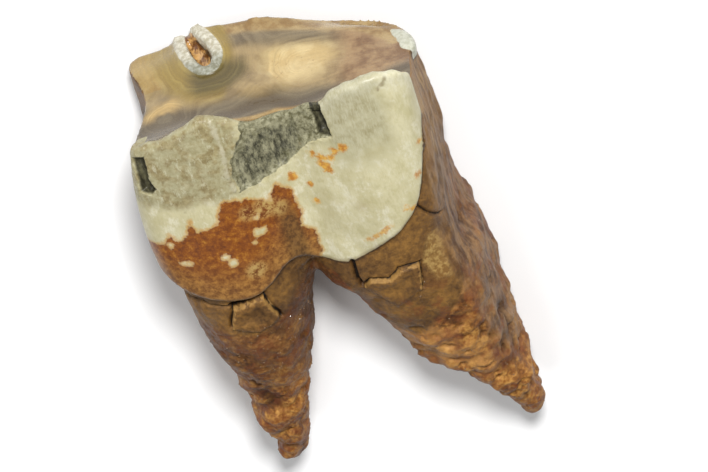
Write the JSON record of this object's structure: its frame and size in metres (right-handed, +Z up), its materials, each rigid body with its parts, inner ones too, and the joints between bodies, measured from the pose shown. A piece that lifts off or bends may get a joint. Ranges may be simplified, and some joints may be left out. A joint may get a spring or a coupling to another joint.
{
  "type": "fossil rhinoceros tooth",
  "caption": "Fossil lower cheek tooth with a worn hollow chewing surface, a thick enamel wall on one side, a raised enamel fold and long rough roots that part below the crown.",
  "frame": {"origin": "middle of the footprint's box, on the surface the tooth lies on", "axes": "+Y from the root tips to the chewing surface, +X along the jaw to the front, +Z up out of the cheek side; the tooth lies on its tongue side"},
  "size_m": [0.0518, 0.0866, 0.0293],
  "materials": {
    "fossil_tooth": "polished dentine and cream enamel over rough brown roots"
  },
  "bodies": {
    "root": {"tooth": "fossil_tooth"}
  },
  "joints": []
}
